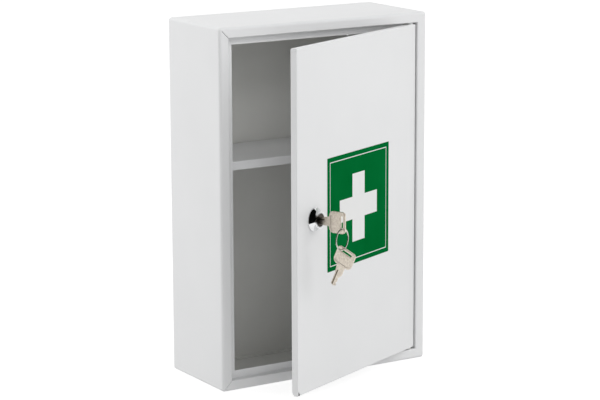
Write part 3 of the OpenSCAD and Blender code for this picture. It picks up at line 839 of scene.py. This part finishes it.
foot_x, foot_top = WAIST[-1]
housing_profile = [(PLUG_R, -BARREL_L), (PLUG_R, SEAT), (RIM[0][0], SEAT)]
housing_profile += RIM + curve(*WAIST)
housing_profile += arc(foot_x, foot_top - FOOT_ROUND, FOOT_ROUND, 90, 0, 4)
housing_profile += [(FOOT_R, FOOT_BEVEL), (FOOT_R - FOOT_BEVEL, 0), (BARREL_R, 0)]
thread_rows = int(BARREL_L * THREAD_STEPS / PITCH)
threads = [-0.001 - i * PITCH / THREAD_STEPS for i in range(thread_rows)]
housing_profile += [(BARREL_R, z) for z in threads] + [(BARREL_R, -BARREL_L)]
housing = make_piece(
    "lock_housing",
    lathe(housing_profile, LOCK_STEPS, closed=True, reach=barrel_radius),
    [chrome],
    on_lock,
)
smooth(housing, 40)
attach(housing, "door")
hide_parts("lock_housing")


# ---------------------------------------------------------------- Lock washer and ring nut
# The barrel is clamped in the door's hole from behind by a plated washer and a hexagon nut.

WASHER_R, WASHER_T, WASHER_BEVEL = 10, 0.8, 0.15
NUT_HALF, NUT_T, NUT_CORNER, NUT_BEVEL = 10, 4, 11.6, 0.3
REAR_CHAMFER, FRONT_CHAMFER = 1.0, 0.6


def washer_section(inner, outer, low, high):
    """Section of a flat washer with its outer edges bevelled."""
    return [
        (inner, low), (outer - WASHER_BEVEL, low), (outer, low + WASHER_BEVEL),
        (outer, high - WASHER_BEVEL), (outer - WASHER_BEVEL, high), (inner, high),
    ]


washer_low = -SHEET - WASHER_T
slack = BARREL_R + PIN_FIT
bore_flats = double_flat(slack, BARREL_FLAT + PIN_FIT)


def washer_reach(r, z, a):
    """The washer's bore has the barrel's two flats, and its rim is round."""
    return bore_flats(r, z, a) if r <= slack else r


lock_washer = make_piece(
    "lock_washer",
    lathe(
        washer_section(slack, WASHER_R, washer_low, -SHEET),
        LOCK_STEPS,
        closed=True,
        reach=washer_reach,
    ),
    [zinc],
    on_lock,
)
smooth(lock_washer)
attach(lock_washer, "door")
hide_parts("lock_washer")


def hexagon(r, z, a):
    """Radius of the nut's six flats, chamfered where the profile is narrower."""
    flat = NUT_HALF / math.cos((a + math.pi / 6) % (math.pi / 3) - math.pi / 6)
    return min(r, flat) if r > slack + 1 else r


nut_low, nut_high = washer_low - NUT_T, washer_low
nut_profile = [
    (slack, nut_low + NUT_BEVEL), (slack + NUT_BEVEL, nut_low), (NUT_HALF - NUT_BEVEL, nut_low),
    (NUT_CORNER, nut_low + REAR_CHAMFER), (NUT_CORNER, nut_high - FRONT_CHAMFER),
    (NUT_HALF, nut_high), (slack + NUT_BEVEL, nut_high), (slack, nut_high - NUT_BEVEL),
]
lock_nut = make_piece(
    "lock_nut", lathe(nut_profile, LOCK_STEPS, closed=True, reach=hexagon), [zinc], on_lock
)
smooth(lock_nut, 20)
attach(lock_nut, "door")
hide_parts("lock_nut")


# ---------------------------------------------------------------- Lock plug
# The die-cast zinc plug that the key turns, with its slots for the wafers, painted near-black:
# painted shade in its recess. The CAD solid has its real shape, so it stays and gets its finish.

plug_painted_shade = make_finish(
    "painted_shade_plug", (0.035, 0.030, 0.027), (0.08, 0.068, 0.058),
    rough=(0.28, 0.45), tint=0.003, relief=(0.0003, 0.000006), metallic=1.0,
)


def refinish(node, finish):
    """Gives a CAD node its finish and keeps its shape."""
    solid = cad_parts[node]
    solid.data.materials.clear()
    solid.data.materials.append(finish)


# The plug's near-black finish is painted shade
refinish("lock_plug", plug_painted_shade)


# ---------------------------------------------------------------- Wafers and their springs
# Four stamped brass wafers stand on the key's blade, each pushed by a small coil spring. The
# wafers keep their CAD shape; each spring is wound by Geometry Nodes.

WAFER_PITCH = 2.3
WAFERS = 4
WAFER_MID = -0.05
SPRING_X, SPRING_TOP = 3.85, 0.6
SPRING_R, SPRING_WIRE, SPRING_L, SPRING_TURNS = 0.4, 0.09, 3, 8

brass = make_finish(
    "wafer_brass", (0.62, 0.42, 0.17), (0.76, 0.54, 0.25),
    rough=(0.25, 0.38), tint=0.003, relief=(0.0003, 0.000005), metallic=1.0,
)
spring_steel = make_finish(
    "spring_steel", (0.42, 0.43, 0.44), (0.58, 0.59, 0.60),
    rough=(0.22, 0.34), tint=0.002, relief=(0.0002, 0.000003), metallic=1.0,
)
refinish("wafers", brass)


def coil_tree():
    """Wire wound into a coil that rises along z, with both its ends closed. Its section is
    round, or as many times broader across the coil as Breadth says."""
    tree = bpy.data.node_groups.new("wire_coil", "GeometryNodeTree")
    sockets = named_inputs(
        tree, Turns="Float", Radius="Float", Rise="Float", Wire="Float", Breadth="Float",
        Steps="Int", Finish="Material",
    )
    tree.interface.new_socket("Coil", in_out="OUTPUT", socket_type="NodeSocketGeometry")
    nodes, link = tree.nodes, tree.links.new
    given, made = nodes.new("NodeGroupInput"), nodes.new("NodeGroupOutput")
    winding = nodes.new("GeometryNodeCurveSpiral")
    section = nodes.new("GeometryNodeCurvePrimitiveCircle")
    section.inputs["Resolution"].default_value = 10
    upright = nodes.new("GeometryNodeSetCurveNormal")
    upright.mode = "Z_UP"
    spread = nodes.new("ShaderNodeCombineXYZ")
    spread.inputs["Y"].default_value = spread.inputs["Z"].default_value = 1
    flat = nodes.new("GeometryNodeTransform")
    drawn = nodes.new("GeometryNodeCurveToMesh")
    drawn.inputs["Fill Caps"].default_value = True
    real = nodes.new("GeometryNodeRealizeInstances")
    coat = nodes.new("GeometryNodeSetMaterial")
    link(given.outputs["Steps"], winding.inputs["Resolution"])
    link(given.outputs["Turns"], winding.inputs["Rotations"])
    link(given.outputs["Radius"], winding.inputs["Start Radius"])
    link(given.outputs["Radius"], winding.inputs["End Radius"])
    link(given.outputs["Rise"], winding.inputs["Height"])
    link(given.outputs["Wire"], section.inputs["Radius"])
    link(winding.outputs["Curve"], upright.inputs["Curve"])
    link(upright.outputs["Curve"], drawn.inputs["Curve"])
    link(given.outputs["Breadth"], spread.inputs["X"])
    link(section.outputs["Curve"], flat.inputs["Geometry"])
    link(spread.outputs["Vector"], flat.inputs["Scale"])
    link(flat.outputs["Geometry"], drawn.inputs["Profile Curve"])
    link(drawn.outputs["Mesh"], real.inputs["Geometry"])
    link(real.outputs["Geometry"], coat.inputs["Geometry"])
    link(given.outputs["Finish"], coat.inputs["Material"])
    link(coat.outputs["Geometry"], made.inputs["Coil"])
    return tree, sockets


wire_coil, coil_sockets = coil_tree()
spring_values = {
    "Turns": float(SPRING_TURNS), "Radius": SPRING_R * MM,
    "Rise": (SPRING_L - 2 * SPRING_WIRE) * MM, "Wire": SPRING_WIRE * MM,
    "Breadth": 1.0, "Steps": 16, "Finish": spring_steel,
}
for i in range(WAFERS):
    height = WAFER_MID - (i - (WAFERS - 1) / 2) * WAFER_PITCH
    spring = grow(
        f"wafer_spring_{i + 1}", wire_coil, coil_sockets, spring_values,
        on_lock @ shift(SPRING_X, SPRING_TOP - SPRING_WIRE, height) @ turn(90, "X"),
    )
    smooth(spring, 60)
    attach(spring, "plug")
    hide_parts("wafer_springs")


# ---------------------------------------------------------------- Cam with its washer and screw
# A stamped steel lever on the plug's square stub, held by a washer and a pan-head screw. It
# points down while the lock is open, and turns behind the stop lip to lock.

STUB_END = -11.2
CAM_T = 2
CAM_HUB, CAM_ARM, CAM_REACH, CAM_TIP = 8.5, 6, 29, 3
CAM_HOLE, CAM_HOLE_CORNER, CAM_EDGE = 7.0, 0.3, 0.25
SCREW_WASHER_BORE, SCREW_WASHER_R, SCREW_WASHER_T = 2.05, 5.308, 0.8
SCREW_HEAD_R, SCREW_HEAD_T, SCREW_HEAD_EDGE = 3.7, 2.4, 0.1
SCREW_FACE_R, SCREW_DOME, SCREW_RISE = 1.6, (3.5, 0.1), 1.5
SCREW_R, SCREW_ROOT_R, SCREW_TIP_R, SCREW_IN = 2, 1.75, 1.4, 3.2
SCREW_START, HALF_PITCH, SCREW_ROWS = 0.2, 0.35, 16
RECESS_L, RECESS_W, RECESS_DEPTH, RECESS_CORNER = 3.7, 0.62, 1.2, 0.1

neck = math.degrees(math.acos(CAM_ARM / CAM_HUB))
cam_outline = arc(0, 0, CAM_HUB, -neck, 180 + neck, 32)
cam_outline += arc(-CAM_ARM + CAM_TIP, CAM_TIP - CAM_REACH, CAM_TIP, 180, 270)
cam_outline += arc(CAM_ARM - CAM_TIP, CAM_TIP - CAM_REACH, CAM_TIP, 270, 360)
cam_hole = rectangle(CAM_HOLE, CAM_HOLE, CAM_HOLE_CORNER, steps=3, hole=True)
cam = make_piece(
    "lock_cam",
    plate(cam_outline, [cam_hole], STUB_END, STUB_END + CAM_T, CAM_EDGE),
    [zinc],
    on_lock,
)
smooth(cam)
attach(cam, "plug")
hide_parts("lock_cam")

washer_z = STUB_END - SCREW_WASHER_T
cam_washer = make_piece(
    "cam_washer",
    lathe(
        washer_section(SCREW_WASHER_BORE, SCREW_WASHER_R, washer_z, STUB_END),
        closed=True,
    ),
    [zinc],
    on_lock,
)
smooth(cam_washer)
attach(cam_washer, "plug")
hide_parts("cam_washer")

head_low = washer_z - SCREW_HEAD_T
screw_tip = STUB_END + CAM_T + SCREW_IN
screw_profile = [(0, head_low)] + curve(
    (SCREW_FACE_R, head_low),
    (SCREW_DOME[0], head_low + SCREW_DOME[1]),
    (SCREW_HEAD_R, head_low + SCREW_RISE),
    6,
)
screw_profile += [(SCREW_HEAD_R, washer_z - SCREW_HEAD_EDGE)]
screw_profile += [(SCREW_HEAD_R - SCREW_HEAD_EDGE, washer_z), (SCREW_R, washer_z)]
screw_profile += [
    (SCREW_ROOT_R if i % 2 else SCREW_R, washer_z + SCREW_START + i * HALF_PITCH)
    for i in range(SCREW_ROWS)
]
screw_profile += [(SCREW_TIP_R, screw_tip), (0, screw_tip)]
cam_screw = make_piece("cam_screw", lathe(screw_profile, 32), [zinc], on_lock)
recess = [
    make_piece(
        "drill",
        plate(
            rectangle(across, down, RECESS_CORNER, steps=2),
            low=head_low - 1,
            high=head_low + RECESS_DEPTH,
        ),
        [],
        on_lock,
    )
    for across, down in ((RECESS_L, RECESS_W), (RECESS_W, RECESS_L))
]
carve(cam_screw, *recess)
smooth(cam_screw)
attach(cam_screw, "plug")
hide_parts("cam_screw")


# ---------------------------------------------------------------- Keys
# Two stamped keys of nickel-plated brass, 2 mm thick: a square bow with a sunk panel and a slot
# for the ring, a broad shank, and a blade with four cuts and a groove in each side, its floor
# painted dark brown as painted shade. The panel has no stamping.

KEY_L, BOW_L, BOW_W = 40, 18, 21
BOW_R, SHOULDER = 3.2, 5
SHANK, BLADE = 8.8, 5.6
SHANK_ROUND = 2.5
BLADE_START = 28.6
TIP = 1.4
CUTS = (1.3, 0.7, 1.5, 0.9)
CUT_START, CUT_STEP = 30.1, 2.475
CUT_HALF, CUT_LEAD, RIDGE, TIP_RISE = 0.45, 0.4, 0.7, 0.6
PANEL_W, PANEL_H, PANEL_CORNER, PANEL_X, PANEL_DEPTH = 9.4, 17.2, 2.4, 11.4, 0.3
KEY_HALF = 1.0
SLOT_X, SLOT_REACH, SLOT_R = 3.6, 5.4, 1.3
KEY_EDGE = 0.28
GROOVE_X, GROOVE_Y, GROOVE_W, GROOVE_DEPTH = 22.9, 1.1, 1.3, 0.5
GROOVE_SKIN, GROOVE_CORNER, GROOVE_EDGE, PAST_TIP = 0.1, 0.3, 0.2, 1
KEY_FAR = 35
RING_Z, RING_TOP, RING_R = 31.4, -5.65, 10.25
HANG = 0.25
SPARE_TILT = 25

nickel = make_finish(
    "worn_nickel_plate", (0.62, 0.54, 0.455), (0.84, 0.775, 0.67),
    rough=(0.30, 0.46), tint=0.0016, relief=(0.0009, 0.00004), metallic=1.0,
)

top, bottom = BLADE / 2, -BLADE / 2
half_bow = BOW_W / 2
flat_bow = half_bow - SHOULDER
fillet = flat_bow - SHANK / 2
key_outline = [(KEY_L, 0), (KEY_L - TIP, top), (BLADE_START, top)]
key_outline += arc(BOW_L + fillet, flat_bow, fillet, 270, 180, 4)
key_outline += arc(BOW_L - SHOULDER, flat_bow, SHOULDER, 0, 90, 8)[1:]
key_outline += arc(BOW_R, half_bow - BOW_R, BOW_R, 90, 180)
key_outline += arc(BOW_R, BOW_R - half_bow, BOW_R, 180, 270)
key_outline += arc(BOW_L - SHOULDER, -flat_bow, SHOULDER, 270, 360, 8)
key_outline += arc(BOW_L + fillet, -flat_bow, fillet, 180, 90, 4)[1:]
key_outline += arc(BLADE_START - SHANK_ROUND, SHANK_ROUND - SHANK / 2, SHANK_ROUND, 270, 330, 4)
key_outline += [(BLADE_START, bottom), (CUT_START - CUT_LEAD, bottom)]
for i, depth in enumerate(CUTS):
    middle = CUT_START + (i + 0.5) * CUT_STEP
    key_outline += [(middle - CUT_HALF, bottom + depth), (middle + CUT_HALF, bottom + depth)]
    key_outline += [(middle + CUT_STEP / 2, bottom + RIDGE)] if i < len(CUTS) - 1 else []
key_outline += [(KEY_L - TIP, bottom + TIP_RISE)]
key_slot = arc(SLOT_X, SLOT_REACH, SLOT_R, 180, 0, 8) + arc(SLOT_X, -SLOT_REACH, SLOT_R, 0, -180, 8)
panel = rectangle(PANEL_W, PANEL_H, PANEL_CORNER, x=PANEL_X, hole=True)

to_key = turn(90, "Y")
places = {
    "lock_key": on_lock @ shift(0, 0, KEY_FAR) @ to_key,
    "spare_key": on_lock
    @ shift(0, RING_TOP - 2 * RING_R - HANG, RING_Z)
    @ turn(SPARE_TILT - 90, "X")
    @ to_key
    @ shift(-SLOT_X, -SLOT_REACH, 0),
}
# Dark brown painted shade for the floors of the key grooves
groove_painted_shade = make_finish(
    "groove_painted_shade", (0.16, 0.135, 0.105), (0.30, 0.26, 0.20),
    rough=(0.45, 0.60), tint=0.0016, relief=(0.0009, 0.00002), metallic=1.0,
)
groove_end = KEY_L + PAST_TIP
groove_plan = rectangle(
    groove_end - GROOVE_X, GROOVE_W, GROOVE_CORNER,
    x=(groove_end + GROOVE_X) / 2, y=GROOVE_Y, steps=2,
)
for node, body in (("lock_key", "key"), ("spare_key", "spare")):
    blank = plate(
        key_outline, [key_slot], -KEY_HALF, KEY_HALF, KEY_EDGE, [panel], PANEL_DEPTH
    )
    key = make_piece(node, blank, [nickel, groove_painted_shade], places[node])
    grooves = [
        make_piece(
            "drill",
            plate(groove_plan, low=low, high=high, edge=GROOVE_EDGE),
            [],
            places[node],
        )
        for low, high in (
            (KEY_HALF - GROOVE_DEPTH, KEY_HALF + 1), (-KEY_HALF - 1, GROOVE_DEPTH - KEY_HALF)
        )
    ]
    carve(key, *grooves)
    # The groove floors get the painted shade
    to_blank = (places[node] @ Matrix.Scale(MM, 4)).inverted()
    for face in key.data.polygons:
        x, y, z = to_blank @ face.center
        along = GROOVE_X < x < KEY_L - TIP
        if along and abs(y - GROOVE_Y) < GROOVE_W / 2 and abs(z) < KEY_HALF - GROOVE_SKIN:
            face.material_index = 1
    smooth(key, 30)
    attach(key, body)
    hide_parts(node)


# ---------------------------------------------------------------- Key ring
# A split ring of two turns of flat nickelled steel wire. It hangs in the slot of the key in the
# lock and carries the spare key.

RING_WIRE, RING_RISE, RING_BREADTH = 0.36, 0.72, 2.0
RING_SPLIT = 200

ring_nickel = make_finish(
    "ring_nickel", (0.48, 0.48, 0.42), (0.62, 0.62, 0.56),
    rough=(0.16, 0.26), tint=0.004, relief=(0.0004, 0.000003), metallic=1.0,
)
key_ring = grow(
    "key_ring", wire_coil, coil_sockets,
    {
        "Turns": 2.0, "Radius": RING_R * MM, "Rise": RING_RISE * MM, "Wire": RING_WIRE * MM,
        "Breadth": RING_BREADTH, "Steps": 72, "Finish": ring_nickel,
    },
    on_lock @ shift(0, RING_TOP - RING_R, RING_Z - RING_WIRE) @ turn(RING_SPLIT, "Z"),
)
smooth(key_ring, 60)
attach(key_ring, "ring")
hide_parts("key_ring")


# ---------------------------------------------------------------- Floor and backdrop
# A pale floor under the cabinet and an even room round it. The camera and the gloss of the
# metal see both as white; the light that they throw on the cabinet is dimmer than that.

FLOOR, FLOOR_DROP = 4.0, 0.0002
FLOOR_GLOW, FLOOR_LIGHT = 0.85, 0.32


def flat_sheet(name, half_w, half_h):
    """A flat rectangle about its own middle."""
    corners = [(-half_w, -half_h), (half_w, -half_h), (half_w, half_h), (-half_w, half_h)]
    sheet_mesh = bpy.data.meshes.new(name)
    sheet_mesh.from_pydata([(x, y, 0) for x, y in corners], [], [(0, 1, 2, 3)])
    laid = bpy.data.objects.new(name, sheet_mesh)
    bpy.context.collection.objects.link(laid)
    return laid


floor = flat_sheet("floor", FLOOR, FLOOR)
floor.location.z = -FLOOR_DROP
paper = bpy.data.materials.new("white_paper")
paper.use_nodes = True
nodes, link = paper.node_tree.nodes, paper.node_tree.links.new
shader = nodes["Principled BSDF"]
shader.inputs["Base Color"].default_value = (0.32, 0.32, 0.32, 1)
shader.inputs["Roughness"].default_value = 0.9
rays = nodes.new("ShaderNodeLightPath")
glow = nodes.new("ShaderNodeEmission")
glow.inputs["Strength"].default_value = FLOOR_GLOW
bare = nodes.new("ShaderNodeEmission")
bare.inputs["Strength"].default_value = FLOOR_LIGHT
seen = nodes.new("ShaderNodeMath")
seen.operation = "MAXIMUM"
link(rays.outputs["Is Camera Ray"], seen.inputs[0])
link(rays.outputs["Is Glossy Ray"], seen.inputs[1])
pick = nodes.new("ShaderNodeMixShader")
link(seen.outputs[0], pick.inputs["Fac"])
link(bare.outputs[0], pick.inputs[1])
link(glow.outputs[0], pick.inputs[2])
both = nodes.new("ShaderNodeAddShader")
link(shader.outputs[0], both.inputs[0])
link(pick.outputs[0], both.inputs[1])
link(both.outputs[0], nodes["Material Output"].inputs["Surface"])
floor.data.materials.append(paper)

ROOM_LIGHT = 0.53

world = bpy.data.worlds.new("white_room")
bpy.context.scene.world = world
world.use_nodes = True
nodes, link = world.node_tree.nodes, world.node_tree.links.new
room = nodes["Background"]
room.inputs["Color"].default_value = (1, 1, 1, 1)
room.inputs["Strength"].default_value = ROOM_LIGHT
backdrop = nodes.new("ShaderNodeBackground")
backdrop.inputs["Color"].default_value = (1, 1, 1, 1)
backdrop.inputs["Strength"].default_value = 1
rays = nodes.new("ShaderNodeLightPath")
pick = nodes.new("ShaderNodeMixShader")
seen = nodes.new("ShaderNodeMath")
seen.operation = "SUBTRACT"
seen.inputs[0].default_value = 1
link(rays.outputs["Is Diffuse Ray"], seen.inputs[1])
link(seen.outputs[0], pick.inputs["Fac"])
link(room.outputs[0], pick.inputs[1])
link(backdrop.outputs[0], pick.inputs[2])
link(pick.outputs[0], nodes["World Output"].inputs["Surface"])


# ---------------------------------------------------------------- Lamps
# Four soft boxes: in front and above, behind on the lock side, in front on the hinge side, and
# a weak one low in front. None of them shows in the gloss, but a black card by the lock does.

CENTRE = (0, 0, 0.18)
CARD_PLACE, CARD_AIM = (-0.10, -0.215, 0.25), (-0.06, -0.125, 0.181)
CARD_W, CARD_H = 0.35, 0.6


def facing(place, aim):
    """The turn that points an object's -z from one place at another."""
    return (Vector(aim) - Vector(place)).to_track_quat("-Z", "Y").to_euler()


def soft_box(name, place, aim, size, power):
    lamp = bpy.data.lights.new(name, "AREA")
    lamp.shape, lamp.size, lamp.size_y, lamp.energy = "RECTANGLE", size[0], size[1], power
    box = bpy.data.objects.new(name, lamp)
    box.location = place
    box.visible_glossy = False
    box.rotation_euler = facing(place, aim)
    bpy.context.collection.objects.link(box)


soft_box("top_box", (0.1, -1.2, 1.6), CENTRE, (1.4, 1.0), 8)
soft_box("left_box", (-1.1, 1.0, 1.0), CENTRE, (1.0, 1.0), 13.5)
soft_box("right_box", (1.3, -1.5, 1.1), CENTRE, (1.2, 1.2), 11)
soft_box("low_box", (-0.7, -1.8, 0.2), CENTRE, (0.8, 0.4), 2)

card = flat_sheet("black_card", CARD_W, CARD_H)
card.location = CARD_PLACE
card.rotation_euler = facing(CARD_PLACE, CARD_AIM)
card.visible_camera = card.visible_diffuse = card.visible_transmission = card.visible_shadow = False
black = bpy.data.materials.new("black_card")
black.use_nodes = True
shader = black.node_tree.nodes["Principled BSDF"]
shader.inputs["Base Color"].default_value = (0.004, 0.004, 0.004, 1)
shader.inputs["Specular IOR Level"].default_value = 0
card.data.materials.append(black)


# ---------------------------------------------------------------- Camera
# The camera stands to the cabinet's lock side, a little above it, and looks slightly down. Its
# place, aim and focal length were solved from the perspective of the real cabinet's edges.

YAW, PITCH_DOWN, ROLL = 31.708, 11.759, -0.216
FOCAL_PX = 2253.9
DISTANCE = 2281.3
SIDE_STEP, DOWN_STEP = 0.570, -8.695
IMAGE_W, SENSOR = 600, 36

yaw, pitch, roll = (math.radians(v) for v in (YAW, PITCH_DOWN, ROLL))
ahead = Vector((math.sin(yaw) * math.cos(pitch), math.cos(yaw) * math.cos(pitch), -math.sin(pitch)))
level = Vector((math.cos(yaw), -math.sin(yaw), 0))
upright = level.cross(ahead)
right = level * math.cos(roll) + upright * math.sin(roll)
up = upright * math.cos(roll) - level * math.sin(roll)
lens = bpy.data.cameras.new("camera")
lens.sensor_fit = "HORIZONTAL"
lens.sensor_width = SENSOR
lens.lens = FOCAL_PX / IMAGE_W * SENSOR
lens.clip_start, lens.clip_end = 0.05, 50
camera = bpy.data.objects.new("camera", lens)
eye = Vector((0, 0, MIDDLE)) - ahead * DISTANCE + right * SIDE_STEP + up * DOWN_STEP
camera.matrix_world = Matrix((right, up, -ahead)).transposed().to_4x4()
camera.location = eye * MM
bpy.context.collection.objects.link(camera)
bpy.context.scene.camera = camera
bpy.context.scene.view_settings.view_transform = "Standard"
